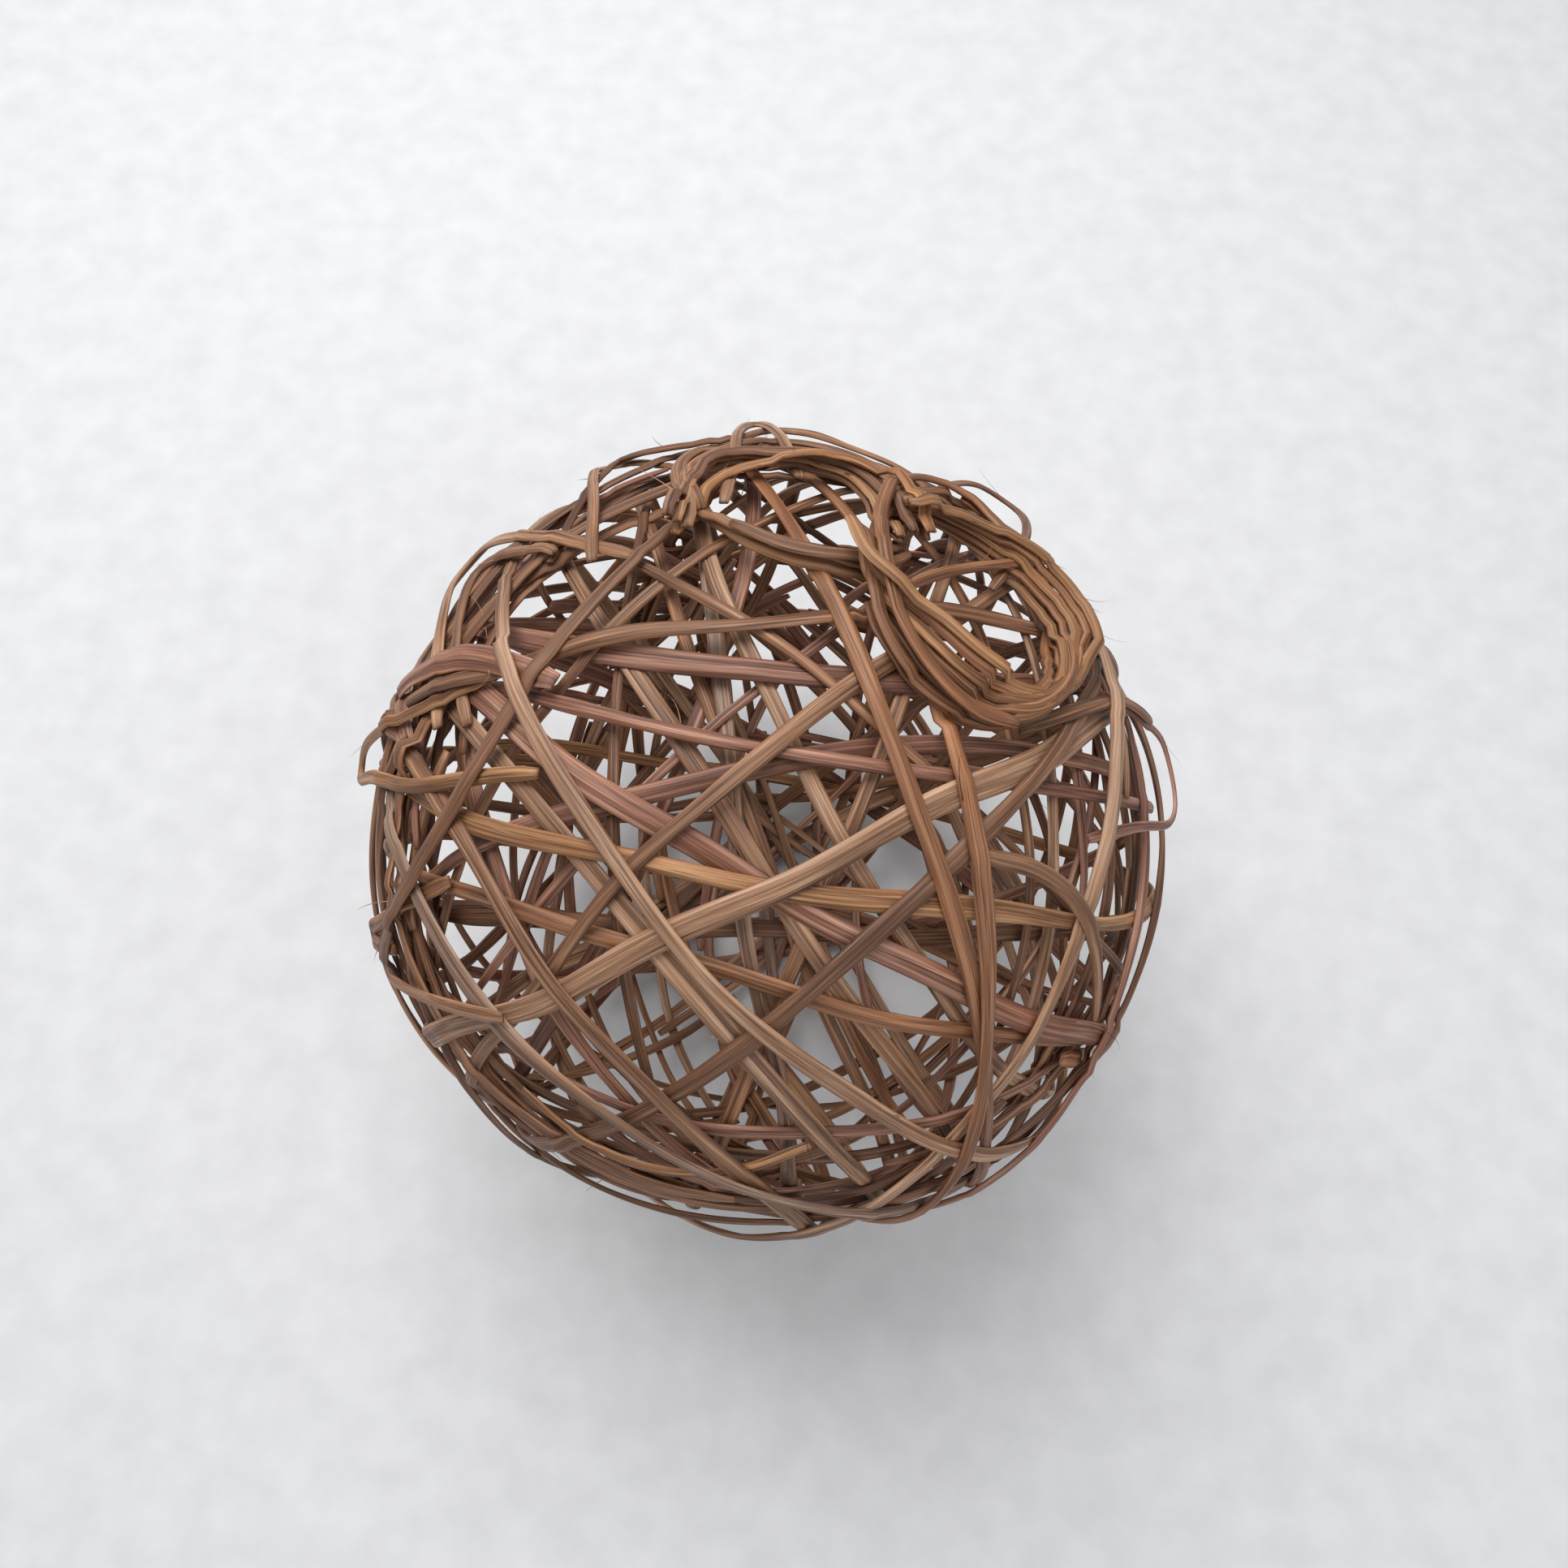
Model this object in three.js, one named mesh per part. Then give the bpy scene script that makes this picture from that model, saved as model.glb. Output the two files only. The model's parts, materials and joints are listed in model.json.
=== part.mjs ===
// A decorative ball, woven at random from flat strips of split vine.
//
// Every strip is a separate solid. Most are hoops: one turn round the ball, with the two ends
// lapped side by side. Two small bundles of thin strips are twisted into rings, and a few short
// tails stand out of the weave. Lengths are millimetres, +Z is up, and the origin is the point
// under the centre of the ball that it rests on.

import * as THREE from 'three';

// ---- Driving dimensions ----------------------------------------------------------------------
const BALL_RADIUS = 125;
const STRIP_THICKNESS = 1.1;
const CLEARANCE = 0.35; // air between two strips where they cross
const FLOOR_DEPTH = 0.985 * BALL_RADIUS; // from the centre down to the flat spot
const FOOT_SPACING = 13; // between the three strips that the ball stands on
const FOOT_START = 0.3; // of a turn from the start of a foot strip to the underside
const FOOT_FLAT = 0.2; // radians either side of the underside where a foot strip runs straight
const FOOT_FADE = 1.9; // and where it is back on its own circle
const STEP_LENGTH = 34.2; // one straight facet of a hoop
const RING_STEP_LENGTH = 14; // one straight facet of a twisted ring or a tail
const LAP = 0.05; // how far a hoop runs past its own start, in turns
const LAP_GAP = 1.4; // between the two ends of a hoop where they lie side by side
const LEVEL_RISE = 2.2; // between one level of the weave and the next
const MIDDLE_LEVEL = 1.5; // levels run from 0, innermost, to 3
const WALL_MIDDLE = BALL_RADIUS - 3; // middle of the woven wall

// ---- The maker's view of the near face -------------------------------------------------------
// The weave is laid out as it looks from a point EYE radii from the centre. A place has a bearing,
// in degrees clockwise from the top, and a reach, 0 in the middle of the disc and 1 at its rim.
// The finished weave is then tipped over by TIP, because the ball lies with that face leaning.
const EYE = 3.2;
const RIM_SLOPE = 1 / Math.sqrt(EYE * EYE - 1);
const TIP = THREE.MathUtils.degToRad(18);
const TIP_AXIS = new THREE.Vector3(1, 0, 0);
const DOWN = new THREE.Vector3(0, 0, -1);

const ROUGHNESS = 0.75;
const TONES = {
  rose: 0x96695a,
  golden: 0xa87c48,
  orange: 0xad7440,
  tan: 0x9a7654,
  light: 0xb39270,
  grey: 0x8e7c69,
  brown: 0x6f4d37,
};

// Hoops: [from bearing, to bearing, pass, width, level, tone]. `pass` is how far from the middle
// the strip crosses the face, positive when the middle lies on its right. Level 3 is outermost.
const HOOPS = [
  [303, 119, -0.12, 5.5, 2.0, 'rose'],
  [325, 137, -0.345, 3.8, 3.0, 'light'],
  [281, 100, -0.12, 4.2, 2.4, 'golden'],
  [240, 70, -0.125, 5.4, 2.7, 'light'],
  [296, 163, -0.41, 4.5, 2.3, 'light'],
  [291, 172, -0.63, 4.5, 3.0, 'tan'],
  [219, 60, -0.375, 4.3, 2.8, 'brown'],
  [258, 105, -0.29, 3.8, 0.2, 'brown'],
  [256, 85, 0.17, 4.2, 1.2, 'rose'],
  [295, 86, 0.235, 3.0, 1.8, 'rose'],
  [306, 66, 0.455, 5.3, 1.3, 'rose'],
  [284, 64, 0.56, 3.6, 2.9, 'brown'],
  [250, 3, 0.7, 3.9, 3.0, 'brown'],
  [238, 25, 0.677, 2.8, 1.4, 'tan'],
  [358, 162, 0.52, 3.8, 2.9, 'orange'],
  [352, 150, 0.38, 3.8, 2.8, 'orange'],
  [350, 133, 0.18, 3.6, 1.3, 'light'],
  [357, 228, -0.31, 3.5, 0.1, 'rose'],
  [325, 148, -0.055, 3.8, 1.1, 'light'],
  [236, 40, 0.32, 2.4, 1.0, 'rose'],
  [228, 50, 0.16, 3.5, 2.2, 'tan'],
  [32, 192, 0.21, 3.3, 0.9, 'tan'],
  [322, 115, 0.41, 2.4, 1.5, 'tan'],
  [20, 160, 0.78, 3.0, 1.2, 'light'],
  [40, 140, 0.865, 3.0, 0.3, 'rose'],
  [60, 150, 0.955, 3.3, 2.8, 'rose'],
  [268, 122, -0.4, 3.7, 1.9, 'orange'],
  [186, 42, -0.83, 4.6, 3.0, 'light'],
  [293, 150, -0.8, 4.3, 3.0, 'grey'],
  [262, 113, -0.77, 3.0, 1.5, 'rose'],
  [258, 116, -0.87, 3.4, 1.0, 'brown'],
  [252, 24, 0.92, 4.4, 2.9, 'brown'],
  [345, 190, -0.41, 2.6, 0.8, 'brown'],
  [310, 160, -0.72, 4.0, 0.2, 'brown'],
  [318, 168, -0.71, 4.0, 1.1, 'rose'],
  [349, 176, -0.075, 3.5, 1.0, 'grey'],
  [340, 159, -0.03, 2.8, 0.3, 'tan'],
  [12, 165, 0.71, 2.6, 0.4, 'tan'],
  [315, 222, -0.95, 3.6, 2.4, 'brown'],
  [330, 210, -0.93, 3.2, 1.0, 'brown'],
  [50, 150, 0.97, 3.4, 1.8, 'brown'],
  [35, 165, 0.93, 3.0, 0.8, 'tan'],
  [58, 206, 0.8, 2.8, 0.4, 'rose'],
];

// Hoops that hug the rim: [bearing of the pole, reach of the nearest point, width, level, tone].
const RIM_HOOPS = [
  [309, 0.97, 3.8, 2.9, 'tan'],
  [15, 0.96, 2.6, 2.0, 'brown'],
  [222, 0.93, 3.6, 1.8, 'brown'],
  [147, 0.97, 3.8, 2.6, 'brown'],
  [195, 0.96, 3.4, 2.2, 'brown'],
];

// The hoops that carry the ball, by their place in HOOPS, and the side of the centre that each
// one passes on the underside.
const FEET = new Map([[7, 0], [8, -1], [26, 1]]);

// Twisted rings: ovals as seen, each of a few thin strips.
const RINGS = [
  { bearing: 41, reach: 0.76, long: 0.31, short: 0.2, lean: 55, strips: 3, tone: 'orange' },
  { bearing: 6, reach: 0.84, long: 0.29, short: 0.13, lean: 14, strips: 3, tone: 'tan' },
];
const RING_WIDTH = 2.5;
const RING_TWIST = 1.6; // how far a strip strays from the middle of its bundle
const RING_TWISTS = 2;
const RING_TURN = 0.94; // of a turn that one strip of a ring makes
const RING_RIM = 0.985; // a ring never reaches past this, as seen
const OUTER_HEIGHT = 4.2; // of the rings and tails, above the middle of the wall

// Tails: [from bearing, from reach, to bearing, to reach, lift at the free end, width, tone].
const TAILS = [
  [30, 0.7, 46, 0.97, 7, 2.6, 'orange'],
  [236, 0.78, 249, 0.98, 5, 3.4, 'tan'],
];

// The ball is a little lumpy: [bearing, rise in radii] of each bulge or dent at the rim.
const LUMPS = [
  [150, 0.045],
  [118, 0.02],
  [60, -0.045],
  [25, -0.03],
  [325, -0.035],
  [300, -0.03],
  [285, -0.01],
];
const LUMP_SPREAD = 0.3; // radians

// ---- Places on the ball ----------------------------------------------------------------------
const rad = THREE.MathUtils.degToRad;

/** The point of the unit ball that the maker sees at a place x right, y up on the disc. */
function onBall(x, y) {
  const t = Math.hypot(x, y) * RIM_SLOPE;
  const rest = Math.max(0, EYE * EYE - (1 + t * t) * (EYE * EYE - 1));
  const s = (EYE - Math.sqrt(rest)) / (1 + t * t);
  return new THREE.Vector3(s * x * RIM_SLOPE, s * y * RIM_SLOPE, EYE - s).normalize();
}

function place(bearing, reach) {
  return onBall(reach * Math.sin(rad(bearing)), reach * Math.cos(rad(bearing)));
}

const GOLDEN_PART = 0.618034;
const PLASTIC_PART = 0.754878;

/** A number from 0 to 1 that differs from strip to strip, the same each time. */
function spread(index, salt) {
  return (index * GOLDEN_PART + salt * PLASTIC_PART) % 1;
}

/** The radius of the lumpy shell in a direction of the maker's view. */
function shellRadius(direction) {
  let rise = 0;
  for (const [bearing, height] of LUMPS) {
    const away = direction.angleTo(place(bearing, 1));
    rise += height * Math.exp(-((away / LUMP_SPREAD) ** 2));
  }
  return 1 + rise;
}

// ---- Routes: directions from the centre, one for each vertex of a strip -----------------------

/** The circle on the unit ball through three of its points. */
function circleThrough(a, m, b) {
  const axis = m.clone().sub(a).cross(b.clone().sub(a)).normalize();
  const offset = axis.dot(a);
  const first = m.clone().addScaledVector(axis, -offset).normalize();
  return { axis, offset, first, second: axis.clone().cross(first) };
}

function pointOnCircle(circle, angle, sideways) {
  const tilt = Math.asin(circle.offset) + sideways;
  return circle.first.clone().multiplyScalar(Math.cos(angle))
    .addScaledVector(circle.second, Math.sin(angle))
    .multiplyScalar(Math.cos(tilt))
    .addScaledVector(circle.axis, Math.sin(tilt));
}

function circleOfHoop([from, to, pass]) {
  const start = new THREE.Vector2(Math.sin(rad(from)), Math.cos(rad(from)));
  const end = new THREE.Vector2(Math.sin(rad(to)), Math.cos(rad(to)));
  const along = end.clone().sub(start).normalize();
  return circleThrough(place(from, 1), onBall(-pass * along.y, pass * along.x), place(to, 1));
}

/** A great circle whose nearest point to the maker lies at a bearing and a reach. */
function circleOfRimHoop([bearing, reach]) {
  const nearest = place(bearing, reach);
  const across = new THREE.Vector3(Math.cos(rad(bearing)), -Math.sin(rad(bearing)), 0);
  return { axis: nearest.clone().cross(across), offset: 0, first: nearest, second: across.negate() };
}

/** How strongly a place is pulled across the underside: 1 there, fading to 0 far from it. */
function footPull(angle) {
  const away = Math.abs(Math.atan2(Math.sin(angle), Math.cos(angle)));
  return 1 - THREE.MathUtils.smoothstep(away, FOOT_FLAT, FOOT_FADE);
}

/** The route of one turn, with the ends lapped side by side. */
function hoopRoute(circle, width, index, footSide) {
  const turns = 1 + LAP;
  const length = 2 * Math.PI * BALL_RADIUS * Math.sqrt(1 - circle.offset ** 2) * turns;
  const steps = Math.round(length / STEP_LENGTH);
  const step = (2 * Math.PI * turns) / steps;
  const drift = (width + LAP_GAP) / BALL_RADIUS;
  const under = DOWN.clone().applyAxisAngle(TIP_AXIS, -TIP);
  const underAngle = Math.atan2(under.dot(circle.second), under.dot(circle.first));
  const isFoot = footSide !== undefined;
  // A foot starts a whole number and a half of steps before the underside, which is then the
  // middle of a facet. Any other hoop starts somewhere on the far face.
  const before = Math.round(steps * FOOT_START) + 0.5;
  const farStart = Math.PI * (0.72 + 0.56 * spread(index, 1));
  const start = isFoot ? underAngle - before * step : farStart;
  const wanted = isFoot ? (footSide * FOOT_SPACING) / BALL_RADIUS : 0;
  const miss = Math.asin(under.dot(circle.axis)) - Math.asin(circle.offset) + wanted;
  const route = [];
  for (let k = 0; k <= steps; k += 1) {
    const angle = start + k * step;
    const lapped = drift * (k / steps - 0.5);
    const pull = isFoot ? footPull(angle - underAngle) : 0;
    route.push(pointOnCircle(circle, angle, lapped * (1 - pull) + miss * pull));
  }
  return { route, footStep: isFoot ? Math.floor(before) : -1 };
}

/** One strip of a twisted ring. */
function ringRoute(ring, strip) {
  const middle = new THREE.Vector2(Math.sin(rad(ring.bearing)), Math.cos(rad(ring.bearing)))
    .multiplyScalar(ring.reach);
  const lean = rad(ring.lean);
  const around = 2 * Math.PI * BALL_RADIUS * Math.sqrt((ring.long ** 2 + ring.short ** 2) / 2);
  const steps = Math.round(around / RING_STEP_LENGTH);
  const route = [];
  const lift = [];
  for (let k = 0; k <= steps; k += 1) {
    const angle = 2 * Math.PI * ((RING_TURN * k) / steps + strip / ring.strips);
    const twist = RING_TWISTS * angle + (2 * Math.PI * strip) / ring.strips;
    const grow = 1 + (RING_TWIST * Math.cos(twist)) / (BALL_RADIUS * ring.short);
    const u = ring.long * grow * Math.cos(angle);
    const v = ring.short * grow * Math.sin(angle);
    const x = middle.x + u * Math.cos(lean) + v * Math.sin(lean);
    const y = middle.y - u * Math.sin(lean) + v * Math.cos(lean);
    const inside = Math.min(1, RING_RIM / Math.hypot(x, y));
    route.push(onBall(x * inside, y * inside));
    lift.push(RING_TWIST * Math.sin(twist));
  }
  return { route, lift };
}

/** A short strip that climbs out of the weave to a cut end. */
function tailRoute([fromBearing, fromReach, toBearing, toReach, rise]) {
  const from = place(fromBearing, fromReach);
  const to = place(toBearing, toReach);
  const steps = Math.max(3, Math.round((from.angleTo(to) * BALL_RADIUS) / RING_STEP_LENGTH));
  const route = [];
  const lift = [];
  for (let k = 0; k <= steps; k += 1) {
    const part = k / steps;
    route.push(from.clone().lerp(to, part).normalize());
    lift.push(rise * part * part);
  }
  return { route, lift };
}

// ---- The strips before they are settled -------------------------------------------------------

/** Heights that keep their level on the near face and wander on the far one. */
function hoopHeights(route, level, index) {
  return route.map((direction, k) => {
    const near = THREE.MathUtils.smoothstep(direction.z, -0.3, 0.4);
    const turn = (2 * Math.PI * k) / (route.length - 1);
    const wander = MIDDLE_LEVEL * (1 + Math.sin(2 * turn + 2 * Math.PI * spread(index, 2)));
    return LEVEL_RISE * (near * level + (1 - near) * wander - MIDDLE_LEVEL);
  });
}

function makeStrips() {
  const strips = [];
  const add = (kind, width, tone, route, heights, footStep = -1) => {
    const name = `${kind}_${String(strips.length + 1).padStart(2, '0')}_${tone}`;
    const directions = route.map((direction) => direction.clone().applyAxisAngle(TIP_AXIS, TIP));
    const radii = route.map((direction, k) => shellRadius(direction) * WALL_MIDDLE + heights[k]);
    strips.push({ name, width, tone, directions, radii, wanted: [...radii], footStep });
  };
  HOOPS.forEach((hoop, index) => {
    const [, , , width, level, tone] = hoop;
    const { route, footStep } = hoopRoute(circleOfHoop(hoop), width, index, FEET.get(index));
    add('hoop', width, tone, route, hoopHeights(route, level, index), footStep);
  });
  RIM_HOOPS.forEach((hoop, index) => {
    const [, , width, level, tone] = hoop;
    const { route } = hoopRoute(circleOfRimHoop(hoop), width, HOOPS.length + index);
    add('rim_hoop', width, tone, route, hoopHeights(route, level, HOOPS.length + index));
  });
  for (const ring of RINGS) {
    for (let strip = 0; strip < ring.strips; strip += 1) {
      const { route, lift } = ringRoute(ring, strip);
      add('ring_strip', RING_WIDTH, ring.tone, route, lift.map((rise) => OUTER_HEIGHT + rise));
    }
  }
  for (const tail of TAILS) {
    const { route, lift } = tailRoute(tail);
    add('tail', tail[5], tail[6], route, lift.map((rise) => OUTER_HEIGHT + rise));
  }
  return strips;
}

// ---- Settling: the strips are pushed in and out until none touches another --------------------
/** True at the two vertices of a foot strip that lie on the floor. */
function isOnFloor(strip, k) {
  return strip.footStep >= 0 && (k === strip.footStep || k === strip.footStep + 1);
}

const SAMPLE_LENGTH = 2.6;
const SIDE_MARGIN = 0.45;
const GRID_CELL = 0.06;

/** Points along the facets of a strip, each with its share of the two vertices beside it. */
function samplesOf(strip, stripIndex) {
  const samples = [];
  for (let k = 0; k + 1 < strip.directions.length; k += 1) {
    const a = strip.directions[k];
    const b = strip.directions[k + 1];
    const side = b.clone().sub(a).cross(a).normalize();
    const count = Math.max(3, Math.ceil((a.angleTo(b) * BALL_RADIUS) / SAMPLE_LENGTH));
    for (let j = 0; j <= count; j += 1) {
      const part = j / count;
      const point = a.clone().lerp(b, part);
      const chord = point.length();
      samples.push({ strip: stripIndex, k, part, chord, side, direction: point.divideScalar(chord) });
    }
  }
  return samples;
}

function sampleHeight(radii, sample) {
  return ((1 - sample.part) * radii[sample.k] + sample.part * radii[sample.k + 1]) * sample.chord;
}

/** True where a place covered by both strips may lie level with both samples. */
function covers(a, b, widthA, widthB) {
  const halfA = widthA / 2 + SIDE_MARGIN;
  const halfB = widthB / 2 + SIDE_MARGIN;
  const alike = Math.abs(a.side.dot(b.side)); // 1 side by side, 0 square across
  const farthest = Math.sqrt(halfA * halfA + halfB * halfB + 2 * halfA * halfB * alike);
  return a.direction.distanceTo(b.direction) * BALL_RADIUS <= farthest;
}

/** Every pair of samples where one strip lies over another, by pair of strips. */
function findContacts(strips, samples) {
  const grid = new Map();
  const cellOf = (d) => [d.x, d.y, d.z].map((value) => Math.floor(value / GRID_CELL));
  const key = (...cell) => cell.join(' ');
  samples.forEach((sample, index) => {
    const id = key(...cellOf(sample.direction));
    if (!grid.has(id)) grid.set(id, []);
    grid.get(id).push(index);
  });
  const byPair = new Map();
  samples.forEach((a, index) => {
    const [x, y, z] = cellOf(a.direction);
    for (let n = 0; n < 27; n += 1) {
      const near = grid.get(key(x + (n % 3) - 1, y + (Math.floor(n / 3) % 3) - 1, z + Math.floor(n / 9) - 1));
      for (const other of near ?? []) {
        const b = samples[other];
        if (other <= index || a.strip === b.strip) continue;
        if (!covers(a, b, strips[a.strip].width, strips[b.strip].width)) continue;
        const pair = a.strip * 1000 + b.strip;
        if (!byPair.has(pair)) byPair.set(pair, []);
        byPair.get(pair).push([index, other]);
      }
    }
  });
  return byPair;
}

/** One crossing for each place where two strips meet, with the outer strip first. */
function findCrossings(strips, samples) {
  const crossings = [];
  for (const pairs of findContacts(strips, samples).values()) {
    pairs.sort((p, q) => p[0] - q[0]);
    const places = [];
    let last = -Infinity;
    for (const pair of pairs) {
      if (pair[0] - last > PLACE_GAP) {
        places.push({ place: samples[pair[0]].direction, pairs: [], load: 0 });
      }
      places[places.length - 1].pairs.push(pair);
      [last] = pair;
    }
    // A lapped strip starts and ends in one place, so its first and last contacts may be one too.
    const [first] = places;
    const end = places[places.length - 1];
    if (first !== end && first.place.dot(samples[last].direction) > SAME_PLACE) {
      first.pairs.push(...places.pop().pairs);
    }
    crossings.push(...places);
  }
  for (const crossing of crossings) {
    let lead = 0;
    for (const [a, b] of crossing.pairs) {
      lead += sampleHeight(strips[samples[a].strip].wanted, samples[a]);
      lead -= sampleHeight(strips[samples[b].strip].wanted, samples[b]);
    }
    crossing.lead = Math.abs(lead) / crossing.pairs.length;
    if (lead < 0) swapOver(crossing);
  }
  return crossings;
}

function swapOver(crossing) {
  crossing.pairs = crossing.pairs.map(([outer, inner]) => [inner, outer]);
}

const PLACE_GAP = 36; // samples along a strip between one crossing with a neighbour and the next
const SAME_PLACE = 0.6; // cosine of the angle within which two contacts are one crossing
const SORT_PASSES = 60; // times that the tightest crossings change over
const SORT_ROUNDS = 12;
const SORT_SHARE = 0.02;
const FOOT_LEAD = 18; // keeps the three foot strips outside every other
const KEPT_LEAD = 3; // a strip this far outside the other stays outside it
const REPAIR_PASSES = 80;
const REPAIR_ROUNDS = 14;
const REPAIR_PART = 0.9; // the part of the repair passes that may swap
const SOFT_ROUNDS = 120;
const FREE_ROUNDS = 500; // the last rounds only push strips apart
const STIFFNESS = 0.12;
const SHELL_PULL = 0.03;

function settle(strips) {
  for (const strip of strips) {
    strip.held = strip.radii.map((_, k) => isOnFloor(strip, k));
    strip.held.forEach((isHeld, k) => {
      if (!isHeld) return;
      strip.radii[k] = (FLOOR_DEPTH - STRIP_THICKNESS / 2) / -strip.directions[k].z;
      strip.wanted[k] = strip.radii[k] + FOOT_LEAD;
    });
  }
  const samples = strips.flatMap((strip, index) => samplesOf(strip, index));
  const crossings = findCrossings(strips, samples);
  for (let pass = 0; pass < SORT_PASSES; pass += 1) {
    for (const crossing of crossings) crossing.load = 0;
    runRounds(strips, samples, crossings, SORT_ROUNDS, true);
    const loose = crossings.filter((crossing) => crossing.lead < KEPT_LEAD);
    loose.sort((p, q) => q.load - p.load);
    const share = SORT_SHARE * (1 - pass / SORT_PASSES);
    for (const crossing of loose.slice(0, Math.round(share * loose.length))) swapOver(crossing);
  }
  // Three strips that lie over one another in a circle can't all clear, so the worst one gives way.
  for (let pass = 0; pass < REPAIR_PASSES; pass += 1) {
    for (const crossing of crossings) crossing.load = 0;
    runRounds(strips, samples, crossings, REPAIR_ROUNDS, true);
    const worst = crossings.reduce((p, q) => (q.load > p.load ? q : p));
    if (pass < REPAIR_PASSES * REPAIR_PART) swapOver(worst);
  }
  runRounds(strips, samples, crossings, SOFT_ROUNDS, true);
  runRounds(strips, samples, crossings, FREE_ROUNDS, false);
}

function runRounds(strips, samples, crossings, rounds, isSoft) {
  for (let round = 0; round < rounds; round += 1) {
    if (isSoft) relax(strips);
    for (const crossing of crossings) {
      let push = 0;
      for (const [outer, inner] of crossing.pairs) {
        push = Math.max(push, pushApart(strips, samples[outer], samples[inner]));
      }
      crossing.load += push;
    }
    keepAboveFloor(strips);
  }
}

/** Straightens the bends of every strip a little and draws it back to its place in the wall. */
function relax(strips) {
  for (const strip of strips) {
    const before = [...strip.radii];
    const last = before.length - 1;
    before.forEach((radius, k) => {
      if (strip.held[k]) return;
      const bend = (before[Math.max(0, k - 1)] + before[Math.min(last, k + 1)]) / 2 - radius;
      strip.radii[k] += STIFFNESS * bend + SHELL_PULL * (strip.wanted[k] - radius);
    });
  }
}

/** Moves the vertices beside two samples until the outer one clears the inner one. */
function pushApart(strips, outer, inner) {
  const out = strips[outer.strip];
  const into = strips[inner.strip];
  const needed = STRIP_THICKNESS + CLEARANCE;
  const shortfall = needed - (sampleHeight(out.radii, outer) - sampleHeight(into.radii, inner));
  if (shortfall <= 0) return 0;
  const o0 = out.held[outer.k] ? 0 : (1 - outer.part) * outer.chord;
  const o1 = out.held[outer.k + 1] ? 0 : outer.part * outer.chord;
  const i0 = into.held[inner.k] ? 0 : (1 - inner.part) * inner.chord;
  const i1 = into.held[inner.k + 1] ? 0 : inner.part * inner.chord;
  const total = o0 * o0 + o1 * o1 + i0 * i0 + i1 * i1;
  if (total < 0.001) return 0;
  const step = shortfall / total;
  out.radii[outer.k] += o0 * step;
  out.radii[outer.k + 1] += o1 * step;
  into.radii[inner.k] -= i0 * step;
  into.radii[inner.k + 1] -= i1 * step;
  return shortfall;
}

function keepAboveFloor(strips) {
  const lowest = FLOOR_DEPTH - STRIP_THICKNESS / 2 - CLEARANCE;
  for (const strip of strips) {
    strip.directions.forEach((direction, k) => {
      if (strip.held[k] || direction.z > 0) return;
      const slack = (strip.width / 2) * Math.hypot(direction.x, direction.y);
      strip.radii[k] = Math.min(strip.radii[k], (lowest - slack) / -direction.z);
    });
  }
}

// ---- Solids ----------------------------------------------------------------------------------

/** The route of a strip, with the flat side of the strip always facing out of the ball. */
class StripPath extends THREE.Curve {
  constructor(points, outward) {
    super();
    this.points = points;
    this.outward = outward;
  }

  getPoint(t, target = new THREE.Vector3()) {
    const scaled = THREE.MathUtils.clamp(t, 0, 1) * (this.points.length - 1);
    const k = Math.min(Math.floor(scaled), this.points.length - 2);
    return target.copy(this.points[k]).lerp(this.points[k + 1], scaled - k);
  }

  getSpacedPoints() {
    return this.points;
  }

  computeFrenetFrames() {
    const last = this.points.length - 1;
    const tangents = this.points.map((_, k) => this.points[Math.min(last, k + 1)].clone()
      .sub(this.points[Math.max(0, k - 1)]).normalize());
    const binormals = tangents.map((tangent, k) => tangent.clone().cross(this.outward[k]).normalize());
    const normals = tangents.map((_, k) => this.outward[k]);
    return { tangents, normals, binormals };
  }
}

function stripMesh(strip) {
  const points = strip.directions.map((direction, k) => direction.clone()
    .multiplyScalar(strip.radii[k]).add(new THREE.Vector3(0, 0, FLOOR_DEPTH)));
  const outward = strip.directions.map((direction, k) => (strip.held[k] ? DOWN : direction).clone());
  const half = { thick: STRIP_THICKNESS / 2, wide: strip.width / 2 };
  const section = new THREE.Shape([
    new THREE.Vector2(-half.thick, -half.wide),
    new THREE.Vector2(half.thick, -half.wide),
    new THREE.Vector2(half.thick, half.wide),
    new THREE.Vector2(-half.thick, half.wide),
  ]);
  const geometry = new THREE.ExtrudeGeometry(section, {
    steps: points.length - 1,
    extrudePath: new StripPath(points, outward),
    bevelEnabled: false,
  });
  const material = new THREE.MeshStandardMaterial({
    color: TONES[strip.tone],
    roughness: ROUGHNESS,
    metalness: 0,
  });
  const mesh = new THREE.Mesh(geometry, material);
  mesh.name = strip.name;
  return mesh;
}

const ball = new THREE.Group();
const strips = makeStrips();
settle(strips);
for (const strip of strips) ball.add(stripMesh(strip));

export default ball;
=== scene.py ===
# %% [markdown]
# # A woven vine ball
#
# The real object is a hollow ball with no frame inside. A maker bends one strip of split vine
# into a hoop, laces the next through it, and goes on until the hoops hold one another.
# This lesson dresses a plain model of that weave: every strip gets its true rounded section,
# its grooves, its twist, its torn fibres and a dry, grainy surface.

# %% Load the plain model
import json
import math

import bpy
import numpy as np
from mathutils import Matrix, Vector
from mathutils.kdtree import KDTree


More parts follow.
